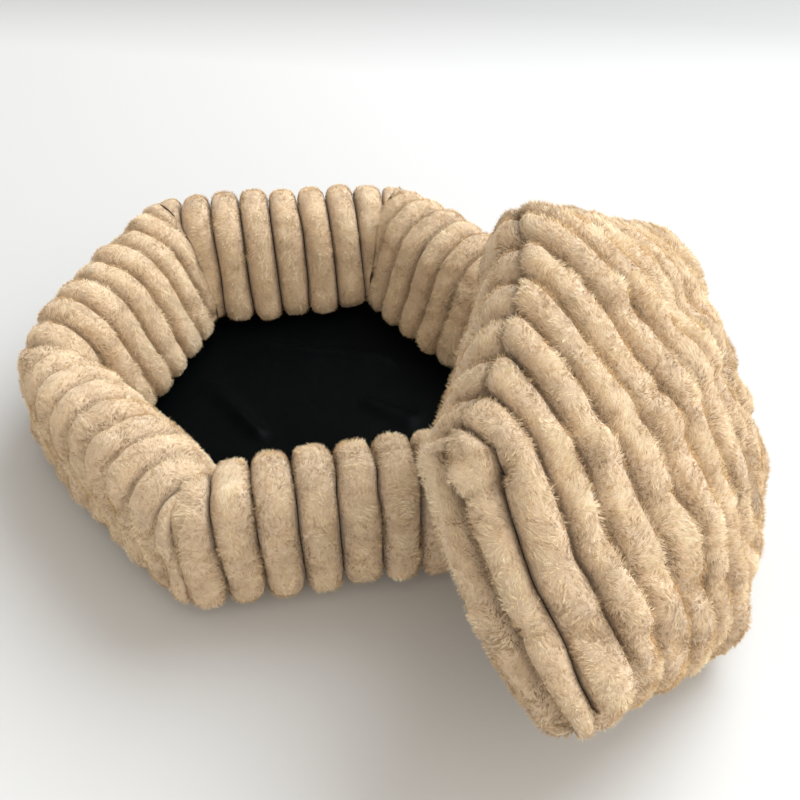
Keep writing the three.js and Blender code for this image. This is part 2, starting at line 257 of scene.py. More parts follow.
def noise_value(points, size, seed):
    """The first of the three numbers of that noise."""
    return noise(points, size, seed)[..., 0]


def tufts(points, size, seed):
    """The middle of the tuft that each point belongs to, and three numbers from 0 to 1 for each tuft."""
    cell = np.floor(points / size)
    best = np.full(len(points), 1e9)
    middle = np.zeros(points.shape)
    own = np.zeros(points.shape)
    for dx in (-1, 0, 1):
        for dy in (-1, 0, 1):
            for dz in (-1, 0, 1):
                c = cell + (dx, dy, dz)
                place = (c + hashed(c, seed)) * size
                away = ((place - points) ** 2).sum(1)
                near = away < best
                best[near] = away[near]
                middle[near] = place[near]
                own[near] = hashed(c[near], seed + 7)
    return middle, own


def uneven(a, b):
    """From -1 to 1, different for each rib, as in the part's source."""
    return np.sin(a * 2.3 + b * 4.1) * 0.6 + np.sin(a * 5.9 - b * 1.7) * 0.4


# Lines and grids
def unit(v):
    """The same directions, each of length 1."""
    return v / np.maximum(np.linalg.norm(v, axis=-1, keepdims=True), 1e-9)


def grid_points(x, y, z):
    """One point for each place of a grid, from numbers that may vary along one side of it only."""
    return np.stack(np.broadcast_arrays(x, y, z), -1)


def distances(line):
    """How far along the line each of its points is."""
    return np.concatenate([[0], np.cumsum(np.linalg.norm(np.diff(line, axis=0), axis=1))])


def bell(away):
    """1 at 0, and less further away on both sides."""
    return np.exp(-(away ** 2))


def dent(past, steep, soft):
    """A dent, from 0 to 1, that starts steeply and runs out softly past its middle."""
    return np.where(past < 0, bell(past / steep), bell(past / soft))


def spline(points):
    """A fine smooth line from the first point to the last, bent at its ends as if it went round."""
    p = np.array(points, float)
    count = len(p)
    fine = []
    for i in range(count - 1):
        p0, p1, p2, p3 = p[(i - 1) % count], p[i], p[i + 1], p[(i + 2) % count]
        for t in np.arange(0, 1, 0.05):
            fine.append(
                0.5 * (2 * p1 + (p2 - p0) * t + (2 * p0 - 5 * p1 + 4 * p2 - p3) * t * t
                       + (3 * p1 - p0 - 3 * p2 + p3) * t ** 3)
            )
    fine.append(p[-1])
    return np.array(fine)


def smooth_section(points, steps, foot_steps):
    """The section as evenly spaced points, its foot straight, and how far along it each one is."""
    fine = spline(points)
    fine[:, 1] = np.maximum(fine[:, 1], 0)
    length = distances(fine)
    at = np.linspace(0, length[-1], steps)
    line = np.stack([np.interp(at, length, fine[:, k]) for k in (0, 1)], 1)
    foot = np.linspace(line[-1], line[0], foot_steps + 2)[1:-1]
    return np.concatenate([line, foot]), np.concatenate([at, np.full(foot_steps, -1.0)])


# Ribs
def lumpy(points, sizes, seeds):
    """Soft lumps in two sizes."""
    return noise_value(points, sizes[0], seeds[0]) + 0.6 * noise_value(points, sizes[1], seeds[1])


def round_rise(share):
    """The height of a rib, 0 in its grooves and 1 on its crest, at a share of its width."""
    return np.sqrt(np.maximum(1 - np.abs(2 * share - 1) ** RIB_FATNESS, 0))


def groove_gap(rise):
    """How far, in millimetres, a place with that rise lies from its groove."""
    return RIB_PITCH / 2 * (1 - np.maximum(1 - rise ** 2, 0) ** (1 / RIB_FATNESS))


def pile_room(rise, least):
    """The room that the back leaves for the pile, which is least in the grooves."""
    return PILE_SINK * (least + (1 - least) * rise)


def lump_ends(rib, arc, spacing, seed):
    """Dents across the ribs, 0 to 1, where one lump of stuffing ends and the next begins."""
    rib, arc = np.broadcast_arrays(rib, arc)
    whole = np.floor(rib)
    q = grid_points(whole * 7.3 + 0.5 * (rib - whole), arc / (1.6 * spacing), seed * 3.7)
    place = arc / spacing + 0.9 * noise_value(q, 1, seed + 17) + 0.37 * whole
    end = np.round(place)
    own = hashed(grid_points(whole, end, 0), seed + 19)[..., 0]
    return dent((place - end) * spacing, 6, 13) * np.clip(1.5 * own - 0.25, 0, 1)


# Meshes
def link(name, data):
    o = bpy.data.objects.new(name, data)
    bpy.context.scene.collection.objects.link(o)
    return o


def keep(mesh, name, kind, values):
    """Stores a number or a vector for each vertex."""
    field = mesh.attributes.new(name, kind, "POINT")
    field.data.foreach_set("vector" if kind == "FLOAT_VECTOR" else "value", values.astype(np.float32).ravel())


def fetch(items, name, width, kind=np.float32):
    """The named numbers of all the items, with a row for each item where it has several."""
    values = np.zeros(len(items) * width, kind)
    items.foreach_get(name, values)
    return values.reshape(-1, width) if width > 1 else values


def grid_mesh(name, grids, closed):
    """A mesh from grids of points, in metres, each with its rise, its flow and its way to the crest."""
    faces, first = [], 0
    for points, _, _, _ in grids:
        rows, cols = points.shape[:2]
        index = first + np.arange(rows * cols).reshape(rows, cols)
        first += rows * cols
        if closed:
            index = np.concatenate([index, index[:, :1]], 1)
        quads = [index[:-1, :-1], index[1:, :-1], index[1:, 1:], index[:-1, 1:]]
        faces.append(np.stack(quads, -1).reshape(-1, 4))
    points, rise, flow, crest = [
        np.concatenate([grid[k].reshape(-1, width) for grid in grids]) for k, width in enumerate((3, 1, 3, 3))
    ]
    mesh = bpy.data.meshes.new(name)
    mesh.from_pydata(points.tolist(), [], np.concatenate(faces).tolist())
    keep(mesh, "rise", "FLOAT", rise)
    keep(mesh, "flow", "FLOAT_VECTOR", flow)
    keep(mesh, "crest", "FLOAT_VECTOR", crest)
    return mesh


def clean_mesh(mesh, reach, close=False, turn=True):
    """Joins the vertices that were drawn together, closes the ends and shades it smooth."""
    b = bmesh.new()
    b.from_mesh(mesh)
    bmesh.ops.remove_doubles(b, verts=b.verts, dist=reach)
    bmesh.ops.dissolve_degenerate(b, edges=b.edges, dist=1e-6)
    if close:
        bmesh.ops.holes_fill(b, edges=[e for e in b.edges if e.is_boundary], sides=0)
    if turn:
        bmesh.ops.recalc_face_normals(b, faces=b.faces)
    for f in b.faces:
        f.smooth = True
    b.to_mesh(mesh)
    b.free()


# The ring
CORNER_NAMES = list(RING_CORNERS)


def wall_frame(start_name, end_name):
    """A wall's middle, directions and half length, and its mitre planes in its own directions."""
    def corner(i):
        return np.array(RING_CORNERS[CORNER_NAMES[i % 6]][:2], float)

    first = CORNER_NAMES.index(start_name)
    start, end = corner(first), corner(first + 1)
    direction = unit(end - start)
    before = unit(start - corner(first - 1))
    after = unit(corner(first + 2) - end)
    turn = np.array([direction, [-direction[1], direction[0]]])
    return {
        "middle": (start + end) / 2,
        "direction": direction,
        "outward": np.array([direction[1], -direction[0]]),
        "half": np.linalg.norm(end - start) / 2,
        "start_normal": turn @ unit(before + direction),
        "end_normal": turn @ unit(after + direction),
        "start": RING_CORNERS[start_name],
        "end": RING_CORNERS[end_name],
    }


def height_share(f, x):
    """The wall's share of the full height at a place along it."""
    place = np.clip(0.5 + x / (2 * f["half"]), 0, 1)
    return f["start"][2] + (f["end"][2] - f["start"][2]) * place


def seam_draw(f, x, y):
    """How far the wall is drawn in by its mitre seams, and by the bluntness of its corners."""
    outside = np.maximum(-y, 0) / WALL_HALF_WIDTH
    from_start = (x + f["half"]) * f["start_normal"][0] + y * f["start_normal"][1]
    from_end = (f["half"] - x) * f["end_normal"][0] - y * f["end_normal"][1]
    pinch, blunt = 0, 0
    for away, corner in ((from_start, f["start"]), (from_end, f["end"])):
        away = np.maximum(away, 0)
        pinch = pinch + SEAM_PINCH * np.exp(-away / SEAM_REACH)
        blunt = blunt + corner[3] * outside * np.exp(-away / CORNER_REACH)
    return pinch, blunt


def wall_section():
    """The section's points, how far along it they are, the ways out of it, and which are its foot."""
    line, arc = smooth_section(WALL_SECTION, SECTION_STEPS, FOOT_STEPS)
    step = np.roll(line, -1, 0) - np.roll(line, 1, 0)
    normal = unit(np.stack([step[:, 1], -step[:, 0]], 1))
    foot = line[:, 1] < 0.01
    normal[foot] = np.stack([np.sign(line[foot, 0]), np.zeros(foot.sum())], 1)
    normal[arc < 0] = 0
    return line, arc, normal, foot


def wall_columns(f, arc, offset, seed):
    """Each column's rib, its share of the rib's width, and its wandering place along the wall."""
    ribs = math.ceil((f["half"] + WALL_HALF_WIDTH) / RIB_PITCH)
    stations = [(r, s) for r in range(-ribs, ribs) for s in RIB_SHARES]
    rib = np.array([r for r, _ in stations])[:, None]
    share = np.array([s for _, s in stations])[:, None]

    def wander(r):
        return WALL_WANDER * noise_value(grid_points(r * 31.7, np.maximum(arc, 0) / 45, 0), 1, seed)

    x = (rib + share) * RIB_PITCH + offset + wander(rib) * (1 - share) + wander(rib + 1) * share
    return rib, share, x


def between_mitres(f, x, y):
    """The places along the wall, kept a little inside both mitre planes."""
    low = -f["half"] - y * f["start_normal"][1] / f["start_normal"][0] + MITRE_GAP
    high = f["half"] - y * f["end_normal"][1] / f["end_normal"][0] - MITRE_GAP
    return np.clip(x, low, high)


def wall_rib_height(rib, within, x, arc, offset, seed):
    """How high the ribs stand: round across, and uneven and lumpy along and from rib to rib."""
    lumps = lumpy(grid_points(x, arc, seed), WALL_LUMP_SIZES, (seed + 1, seed + 2))
    rise = round_rise(within)
    height = rise * (1 + RIB_UNEVENNESS * uneven(rib, offset) + WALL_LUMPS * lumps)
    ends = lump_ends(rib + 0.5 * within, arc, WALL_LUMP_LENGTH, seed)
    return height - WALL_CREASE / RIB_DEPTH * rise * ends


def wall_points(row):
    """A wall's grid: its points in metres, its rise, its flow along the ribs and its way to the crests."""
    _, start_name, end_name, offset = row
    f = wall_frame(start_name, end_name)
    seed = WALLS.index(row) * 13 + 3
    line, arc, normal, foot = wall_section()
    rib, share, x = wall_columns(f, arc, offset, seed)
    reach, above = line[:, 0], line[:, 1]
    y = -reach
    # a point that is drawn in meets its mitre plane elsewhere, which settles in three rounds
    for _ in range(3):
        held = between_mitres(f, x, y)
        # a column that a seam holds back has the rib's height where the seam cuts it
        place = (held - offset) / RIB_PITCH
        cut = np.abs(held - x) > 1e-6
        within = np.where(cut, place - np.floor(place), share)
        own_rib = np.where(cut, np.floor(place), rib)
        rise = round_rise(within)
        height = wall_rib_height(own_rib, within, held, arc, offset, seed)
        pinch, blunt = seam_draw(f, held, -reach)
        # grooves run out flat where they meet the mitre seam
        from_mitre = 1 - np.clip(pinch / SEAM_PINCH, 0, 1)
        sink = pile_room(rise, 0.3) + GROOVE_DEEPER * from_mitre * (1 - rise) ** GROOVE_POWER
        inward = RIB_DEPTH * (1 - height) + pinch + sink
        inward = np.where(foot, np.minimum(inward, FOOT_DRAW), inward)
        # a blunt corner leans in above and stands out at the floor
        blunt = blunt * np.clip(above / 50, 0.65, 1)
        y = -(reach - normal[:, 0] * inward - np.where(normal[:, 1] < 0, 1, normal[:, 0]) * blunt)
    z = above * height_share(f, held) - normal[:, 1] * inward - np.maximum(normal[:, 1], 0) * blunt
    points = np.stack([held, y, np.maximum(z, 0) + WALL_FLOOR], -1)
    turn = np.array([[f["direction"][0], -f["direction"][1]], [f["direction"][1], f["direction"][0]]])
    points[..., :2] = points[..., :2] @ turn.T + f["middle"]
    flow = unit(np.gradient(points, axis=1))
    tangent = np.append(f["direction"], 0)
    crest = tangent * (1 - 2 * within)[..., None]
    return points * MM, rise, flow, crest


def make_wall(row):
    mesh = grid_mesh("plush_" + row[0], [wall_points(row)], True)
    clean_mesh(mesh, 0.0004, close=True)
    return link("plush_" + row[0], mesh)


# The cushion
def turning(axis, degrees):
    return np.array(Matrix.Rotation(math.radians(degrees), 3, axis))


CUSHION_MATRIX = turning("Z", CUSHION_TURN[0]) @ turning("X", CUSHION_TURN[1]) @ turning("Z", CUSHION_TURN[2])
CUSHION_FACING = CUSHION_MATRIX[:, 2]


def seam_sheet(across, share):
    """The sheet that the cushion's seam spans, by shares from -1 to 1 across and along the ribs."""
    top, upper, lower, bottom, far_lower, far_upper = np.array(CUSHION_CORNERS, float)
    reach = np.abs(across)[..., None]
    left = (across < 0)[..., None]
    end = top + (np.where(left, upper, far_upper) - top) * reach
    start = bottom + (np.where(left, lower, far_lower) - bottom) * reach
    point = start + (end - start) * ((share + 1) / 2)[..., None]
    point[..., 0] -= CUSHION_BOW * (1 - share ** 2) * np.maximum(0, -across) ** 2
    return point


def edge_share(across, share):
    """How near the seam a place is: 0 in the middle, 1 at the seam."""
    reach = np.abs(share) * (2 - np.abs(across)) / math.sqrt(3)
    return np.minimum(np.maximum(np.abs(across), np.abs(across) / 2 + reach * math.sqrt(3) / 2), 1)


def smooth_face(across, share, side):
    """The crown, side 1, or the belly, side -1, without its ribs."""
    height, roundness = CUSHION_CROWN if side > 0 else CUSHION_BELLY
    point = seam_sheet(across, share)
    edge = edge_share(across, share)
    left = np.maximum(-across, 0)
    arch = 4 * left * (1 - left) * np.maximum(share, 0) ** 2 * edge ** CUSHION_ARCH[1]
    point[..., 2] += side * height * np.maximum(1 - edge ** 2, 0) ** roundness + CUSHION_ARCH[0] * arch
    return point


def face_normal(across, share, side):
    """The way out of that smooth face."""
    step = 0.004
    left, right = np.maximum(across - step, -1), np.minimum(across + step, 1)
    below, above = np.maximum(share - step, -1), np.minimum(share + step, 1)
    du = smooth_face(right, share, side) - smooth_face(left, share, side)
    dv = smooth_face(across, above, side) - smooth_face(across, below, side)
    return unit(np.cross(du, dv)) * side


def cushion_stations():
    """Where the grooves lie over the crown, and a fine line over it that gives each place's share."""
    across = -np.cos(np.pi * np.arange(CUSHION_ACROSS + 1) / CUSHION_ACROSS)
    length = distances(smooth_face(across, np.zeros(CUSHION_ACROSS + 1), 1))
    grooves = [0] + [CUSHION_FIRST_RIB + i * CUSHION_PITCH for i in range(CUSHION_GROOVES)] + [length[-1]]
    return np.array(grooves), length, across


def cushion_columns(side):
    """The grid's ribs, shares of a rib, places over the crown, and shares across and along."""
    grooves, length, across_at = cushion_stations()
    last = len(grooves) - 1
    stations = [(i, s) for i in range(last) for s in RIB_SHARES]
    stations.append((last - 1, 1.0))
    rib = np.array([i for i, _ in stations])[:, None]
    within = np.array([s for _, s in stations])[:, None]
    shares = -np.cos(np.pi * np.arange(CUSHION_ALONG + 1) / CUSHION_ALONG)

    def wander(r):
        q = grid_points(r * 31.7, shares * 2.4, side)
        wide, fine = CUSHION_WANDER
        bend = wide * noise_value(q, 1, 91) + fine * noise_value(q * (1, 2.6, 1), 1, 93)
        inner = np.where((r == 0) | (r == last), 0, 1)
        return bend * inner * (1 - np.abs(shares) ** 4)

    low = np.maximum(CUSHION_BEND_SHARE - shares, 0)
    drift = np.array(CUSHION_DRIFT, float)

    def groove(r):
        return grooves[r] + wander(r) + drift[r] * low

    place = np.clip(groove(rib) * (1 - within) + groove(rib + 1) * within, 0, grooves[-1])
    across = np.interp(place, length, across_at)
    return rib, within, place, across, np.broadcast_to(shares, across.shape)


def front_forms(bulge, place, share, rise):
    """The front's bulge with its fold, its bumps and its dents."""
    fold = np.array(CUSHION_FOLD)
    past = CUSHION_HALF_LENGTH * (np.interp(place, fold[:, 0], fold[:, 1]) - share)
    run_out = np.clip((fold[-1, 0] - place) / FOLD_RUN_OUT, 0, 1)
    bulge = bulge - FOLD_DEPTH * dent(past, 7, 16) * rise * run_out
    for at, along, wide, long, raised in CUSHION_BUMPS:
        off = ((place - at) / wide) ** 2 + (CUSHION_HALF_LENGTH * (share - along) / long) ** 2
        bulge = bulge + raised * np.exp(-off)
    return bulge


def inside_ring(points):
    """True where a point, in millimetres, lies in the ring's walls or nearly so."""
    reach = np.full(len(points), -1e9)
    share = np.ones(len(points))
    for _, start_name, end_name, _ in WALLS:
        f = wall_frame(start_name, end_name)
        away = (points[:, :2] - f["middle"]) @ f["outward"]
        x = (points[:, :2] - f["middle"]) @ f["direction"]
        more = away > reach
        share = np.where(more, height_share(f, x), share)
        reach = np.where(more, away, reach)
    height = (points[:, 2] - WALL_FLOOR) / share
    s = np.array(WALL_SECTION, float)
    crown = int(s[:, 1].argmax())
    low_enough = np.minimum(height, s[crown, 1])
    outer = np.interp(low_enough, s[: crown + 1, 1], s[: crown + 1, 0])
    inner = np.interp(low_enough, s[crown:, 1][::-1], s[crown:, 0][::-1])
    return (
        (height < s[crown, 1] + CUSHION_CLEARANCE)
        & (reach < outer + CUSHION_CLEARANCE)
        & (reach > inner - CUSHION_CLEARANCE)
    )


def press_clear(world):
    """The points, with those that would lie in the ring pressed back out of it, and none in the floor."""
    flat = world.reshape(-1, 3)
    for _ in range(200):
        hit = inside_ring(flat)
        if not hit.any():
            break
        flat[hit] += CUSHION_FACING * 0.5
    flat[:, 2] = np.maximum(flat[:, 2], 1.5)
    return flat.reshape(world.shape)


def cushion_side(side):
    """One side's grid: its points in metres, its rise, its flow along the ribs and its way to the crests."""
    rib, within, place, across, share = cushion_columns(side)
    rise = np.broadcast_to(round_rise(within), across.shape)
    point = smooth_face(across, share, side)
    edge = edge_share(across, share)
    at_seam = edge > 0.999
    lumps = lumpy(point, CUSHION_LUMP_SIZES, (51 + side, 53 + side))
    height = rise * (1 + RIB_UNEVENNESS * uneven(rib, np.where(at_seam, 1, side) + share)) - 0.5
    creases = lump_ends(rib + 0.5 * within, -point[..., 1], CUSHION_LUMP_LENGTH, 40 + side)
    height = height - CUSHION_CREASE / CUSHION_RIB_DEPTH * rise * creases * (1 - edge ** 8)
    bulge = CUSHION_RIB_DEPTH * height + CUSHION_LUMPS * lumps * (1 - edge ** 6)
    if side > 0:
        bulge = front_forms(bulge, place, share, rise)
    crown, roundness = CUSHION_CROWN if side > 0 else CUSHION_BELLY
    from_seam = crown * np.maximum(1 - edge ** 2, 0) ** roundness
    pinch = CUSHION_PINCH * bell(from_seam / CUSHION_PINCH_REACH)
    sink = pile_room(rise, 0.35) + CUSHION_DEEPER * (1 - rise) ** GROOVE_POWER + pinch
    # at the seam the two sides move level, so that they still meet
    outward = np.where(at_seam[..., None], unit(point * (1, 1, 0)), face_normal(across, share, side))
    moved = point + outward * (bulge - sink)[..., None]
    world = press_clear(moved @ CUSHION_MATRIX.T + CUSHION_CENTRE)
    flow = unit(np.gradient(world, axis=1))
    tangent = unit(np.gradient(world[::RIB_STEPS], axis=0))
    tangent = np.repeat(tangent, RIB_STEPS, 0)[: len(world)]
    crest = tangent * (1 - 2 * within)[..., None]
    # the seam counts as a groove for the pile, and so also gets the grooves' painted shade
    return world * MM, rise * (1 - 0.75 * bell(from_seam / 3.5)), flow, crest


def make_cushion():
    front = cushion_side(1)
    back = [grid[::-1] for grid in cushion_side(-1)]
    mesh = grid_mesh("plush_cushion", [front, back], False)
    clean_mesh(mesh, 0.0006, turn=False)
    return link("plush_cushion", mesh)


def on_front(points):
    """True for the places, in millimetres, on the cushion's front side."""
    return (points - CUSHION_CENTRE) @ CUSHION_FACING > 0


def on_back(points):
    return ~on_front(points)


# The base cloth
def fold_height(x, y):
    """How high the low folds raise the cloth."""
    height = np.zeros(x.shape)
    for x0, y0, x1, y1, rise, half in BASE_FOLDS:
        d = np.array([x1 - x0, y1 - y0], float)
        t = np.clip(((x - x0) * d[0] + (y - y0) * d[1]) / (d @ d), 0, 1)
        away = np.hypot(x - x0 - t * d[0], y - y0 - t * d[1]) / half
        height = np.maximum(height, rise * np.exp(-2.2 * away * away))
    return height


def cloth_points(outline):
    """The cloth's rings of points: flat under the walls, with folds and fine wrinkles inside them."""
    place = np.arange(CLOTH_SPOKES) / CLOTH_SPOKES * 6
    side = np.floor(place).astype(int)
    part = (place - side)[:, None]
    rim = outline[side] * (1 - part) + outline[(side + 1) % 6] * part
    shares = (np.arange(1, CLOTH_RINGS + 1) / CLOTH_RINGS)[:, None, None]
    xy = rim[None] * shares
    x, y = xy[..., 0], xy[..., 1]
    inner = np.clip((0.74 - shares[..., 0]) / 0.1, 0, 1)
    q = grid_points(x, y, 0)
    wrinkle = 0.7 * noise_value(q, 38, 5) + 0.35 * noise_value(q * (1, 2.4, 1), 24, 6)
    z = 1.0 + fold_height(x, y) + np.maximum(wrinkle + 0.35, 0) * inner
    return np.stack([x, y, z], -1)


def cloth_faces():
    """The faces between the middle point, which comes first, and the rings of points."""
    def at(ring, spoke):
        return 1 + ring * CLOTH_SPOKES + spoke % CLOTH_SPOKES

    faces = []
    for s in range(CLOTH_SPOKES):
        faces.append((0, at(0, s), at(0, s + 1)))
        for r in range(CLOTH_RINGS - 1):
            faces.append((at(r, s), at(r + 1, s), at(r + 1, s + 1), at(r, s + 1)))
    return faces


def make_base_cloth():
    """The cloth, with its flat outline in millimetres and its flat area in square metres."""
    outline = np.array([RING_CORNERS[n][:2] for n in CORNER_NAMES], float) * BASE_REACH
    middle = np.array([[0, 0, 1.0]])
    verts = np.concatenate([middle, cloth_points(outline).reshape(-1, 3)]) * MM
    mesh = bpy.data.meshes.new("cloth_base")
    mesh.from_pydata(verts.tolist(), [], cloth_faces())
    clean_mesh(mesh, 1e-6)
    o = link("cloth_base", mesh)
    thick = o.modifiers.new("thickness", "SOLIDIFY")
    thick.thickness = 0.9 * MM
    thick.offset = -1
    area = 0.5 * abs(np.cross(outline, np.roll(outline, -1, 0)).sum())
    return o, outline, area * MM * MM


# Pile
PLUSH = np.array((0.86, 0.69, 0.48))
# painted shade on the strands' roots and painted light on their tips, standing in for the pile's self-shadow
ROOT_PAINTED_SHADE = (0.74, 0.7, 0.65)
TIP_PAINTED_LIGHT = 1.18
# painted shade on the strands near a groove
GROOVE_PAINTED_SHADE = (0.62, 0.7, 0.77)

# painted light: strands that lean this way, towards the light, are painted lighter
LAMPWARD_NAP = np.array((0.7, -0.2, 0.7))


def pick_places(co, tri, rise, count, part, rng):
    """Random places on the plush, as three vertices and their shares: few are near a groove."""
    corners = co[tri]
    facing = np.cross(corners[:, 1] - corners[:, 0], corners[:, 2] - corners[:, 0])
    area = np.linalg.norm(facing, axis=1) / 2
    centre = corners.mean(1)
    # nothing grows where the piece rests on the floor
    shown = np.where((centre[:, 2] < 0.0045) & (unit(facing)[:, 2] < -0.6), 0.0, 1.0)
    if part is not None:
        shown = shown * part(centre / MM)
    weight = area * shown * (1 - 0.85 * bell(groove_gap(rise[tri].mean(1)) / 1.1))
    pick = rng.choice(len(tri), count, p=weight / weight.sum())
    u, v = rng.random((2, count))
    over = u + v > 1
    u, v = np.where(over, 1 - u, u), np.where(over, 1 - v, v)
    return tri[pick], np.stack([1 - u - v, u, v], 1)[..., None]


def strand_roots(mesh, count, part, rng):
    """The roots in millimetres, and the normal, rise, flow and way to the crest at each."""
    mesh.calc_loop_triangles()
    co = fetch(mesh.vertices, "co", 3).astype(float)
    vn = fetch(mesh.vertex_normals, "vector", 3).astype(float)
    tri = fetch(mesh.loop_triangles, "vertices", 3, np.int32)
    rise = fetch(mesh.attributes["rise"].data, "value", 1).astype(float)
    flow = fetch(mesh.attributes["flow"].data, "vector", 3).astype(float)
    crest = fetch(mesh.attributes["crest"].data, "vector", 3).astype(float)
    at, w = pick_places(co, tri, rise, count, part, rng)

    def here(values):
        return (values[at] * w).sum(1)

    return here(co) / MM, unit(here(vn)), (rise[at] * w[..., 0]).sum(1), unit(here(flow)), here(crest)


def strand_ways(normal, flow, crest, swirl, own, lock_own, rng):
    """The ways the strands grow: combed along the ribs and up their sides, in swirls and locks."""
    beside = np.linalg.norm(crest, axis=1)[:, None]
    lie = LIE_ALONG * flow + LIE_SWIRL * swirl + LIE_CREST * crest * beside ** 2 + LIE_TUFT * (own - 0.5)
    lie = lie + LIE_LOCK * (lock_own - 0.5) + LIE_CHANCE * (rng.random(lie.shape) - 0.5)
    lie = lie - normal * (lie * normal).sum(1, keepdims=True)
    lean = np.clip(np.linalg.norm(lie, axis=1), 0.55, 1.5)[:, None]
    return unit(normal + unit(lie) * lean * STRAND_LEAN)


def strand_lengths(root, near_groove, seed, rng):
    """The strands' lengths: shorter in the grooves and near the floor."""
    length = STRAND_LENGTH * (0.75 + 0.45 * rng.random(len(root))) * (1 - 0.7 * near_groove)
    length = length * np.clip(root[:, 2] / 14, 0.35, 1)
    return length[:, None] * (0.9 + 0.2 * noise(root, 16, seed + 4)[:, :1])


def strand_tips(root, normal, grown, tuft, own, lock):
    """The strands' tips, gathered a little to their tuft's middle and more to their lock's."""
    tip = root + grown
    tip = tip + (tuft + (grown + normal) - tip) * (0.1 + 0.2 * own[:, 1:2])
    tip = tip + (lock + grown - tip) * LOCK_GATHER
    # tips stay over the back they grow from, and off the floor
    low = ((tip - root) * normal).sum(1, keepdims=True)
    tip = tip + normal * np.maximum(0.7 - low, 0)
    tip[:, 2] = np.maximum(tip[:, 2], 0.4)
    return tip


def strand_feet(root, tip, normal, rng):
    """The two corners of each strand's foot, turned a little about the strand."""
    way = unit(tip - root)
    flatly = unit(np.cross(way, normal))
    spin = (rng.random(len(root)) - 0.5)[:, None]
    wide = unit(flatly * np.cos(spin) + np.cross(way, flatly) * np.sin(spin))
    half = (STRAND_WIDTH * (0.7 + 0.6 * rng.random(len(root))))[:, None] / 2
    return root - wide * half, root + wide * half


def strand_mesh(name, a, b, tip, normal):
    """One triangle for each strand, facing out."""
    count = len(tip)
    verts = np.stack([a, b, tip], 1).reshape(-1, 3) * MM
    flip = (np.cross(b - a, tip - a) * normal).sum(1) < 0
    order = np.tile([0, 1, 2], (count, 1))
    order[flip] = [1, 0, 2]
    loops = (np.arange(count)[:, None] * 3 + order).ravel()
    mesh = bpy.data.meshes.new(name)
    mesh.vertices.add(count * 3)
    mesh.vertices.foreach_set("co", verts.astype(np.float32).ravel())
    mesh.loops.add(count * 3)
    mesh.loops.foreach_set("vertex_index", loops.astype(np.int32))
    mesh.polygons.add(count)
    mesh.polygons.foreach_set("loop_start", (np.arange(count) * 3).astype(np.int32))
    mesh.update(calc_edges=True)
    return mesh


def strand_tones(root, rise, swirl, tuft, own, lock, lock_own, seed, rng):
    """How light each strand is: its tuft and lock have their own tones, and painted shade makes their borders
    darker, the rib's sides darker than its crest and a band near each groove darker, while painted light
    lightens strands that lean towards the light.
    """
    border = np.clip(np.linalg.norm(root - tuft, axis=1) / 4.5, 0, 1)
    lock_border = np.clip(np.linalg.norm(root - lock, axis=1) / 1.7, 0, 1)
    tone = TONE + TONE_TUFT * (own[:, 2] - 0.5) + TONE_LOCK * (lock_own[:, 2] - 0.5)
    tone = tone + TONE_CHANCE * (rng.random(len(root)) - 0.5)
    # painted shade: strands further from their tuft's and lock's middle are darker, for the shaded gaps
    # between them
    tone = tone - TUFT_GAP_PAINTED_SHADE * border ** 2 - LOCK_GAP_PAINTED_SHADE * lock_border ** 2
    tone = tone + TONE_WIDE_CLOUDS * noise_value(root, 45, seed + 5)
    tone = tone + TONE_CLOUDS * noise_value(root, 15, seed + 9)
    # painted light on strands that lean towards the light
    tone = tone + NAP_PAINTED_LIGHT * swirl @ LAMPWARD_NAP
    # painted shade: the rib's sides are darker than its crest, and a wide soft band by each groove is darker
    return tone * (0.7 + 0.35 * rise ** 1.5) * (1 - 0.2 * bell(groove_gap(rise) / 5))


def paint_strands(mesh, root, tone, near_groove, seed):
    """Colours the strands: painted shade makes them darker and warmer at the roots and in the grooves, and
    painted light makes them lighter at the tips.
    """
    warm = 0.03 * noise(root, 22, seed + 6)[:, 1]
    colour = PLUSH * tone[:, None] ** (1, 1.12, 1.3) * np.stack([1 + warm, np.ones(len(root)), 1 - warm], 1)
    # painted shade: strands near a groove are darkened
    colour = colour * (1 - near_groove[:, None] * GROOVE_PAINTED_SHADE)
    rgba = np.ones((len(root), 3, 4))
    # roots get painted shade, tips get painted light
    rgba[:, :2, :3] = colour[:, None] * ROOT_PAINTED_SHADE
    rgba[:, 2, :3] = colour * TIP_PAINTED_LIGHT
    tint = mesh.color_attributes.new("pile_colour", "FLOAT_COLOR", "POINT")
    tint.data.foreach_set("color", np.clip(rgba, 0, 1).astype(np.float32).ravel())


def pile(base, count, seed, material, name=None, part=None):
    """Short strands all over a plush piece, or over the part of it for which part is true."""
    rng = np.random.default_rng(seed)
    root, normal, rise, flow, crest = strand_roots(base.data, count, part, rng)
    near_groove = bell(groove_gap(rise) / GROOVE_SHADE)
    swirl = noise(root, 22, seed + 1) + 0.7 * noise(root, 9, seed + 2)
    tuft, own = tufts(root, TUFT_SIZE, seed + 3)
    lock, lock_own = tufts(root, LOCK_SIZE, seed + 8)
    way = strand_ways(normal, flow, crest, swirl, own, lock_own, rng)
    grown = way * strand_lengths(root, near_groove, seed, rng)
    tip = strand_tips(root, normal, grown, tuft, own, lock)
    a, b = strand_feet(root, tip, normal, rng)
    mesh = strand_mesh(base.name + "_pile", a, b, tip, normal)
    tone = strand_tones(root, rise, swirl, tuft, own, lock, lock_own, seed, rng)
    paint_strands(mesh, root, tone, near_groove, seed)
    mesh.materials.append(material)
    o = link(name or base.name.replace("plush", "pile"), mesh)
    o.parent = base
    return o


# Materials
SHEEN_TINT = (1.0, 0.9, 0.76, 1)


def new_material(name):
    m = bpy.data.materials.new(name)
    m.use_nodes = True
    return m, m.node_tree, m.node_tree.nodes["Principled BSDF"]


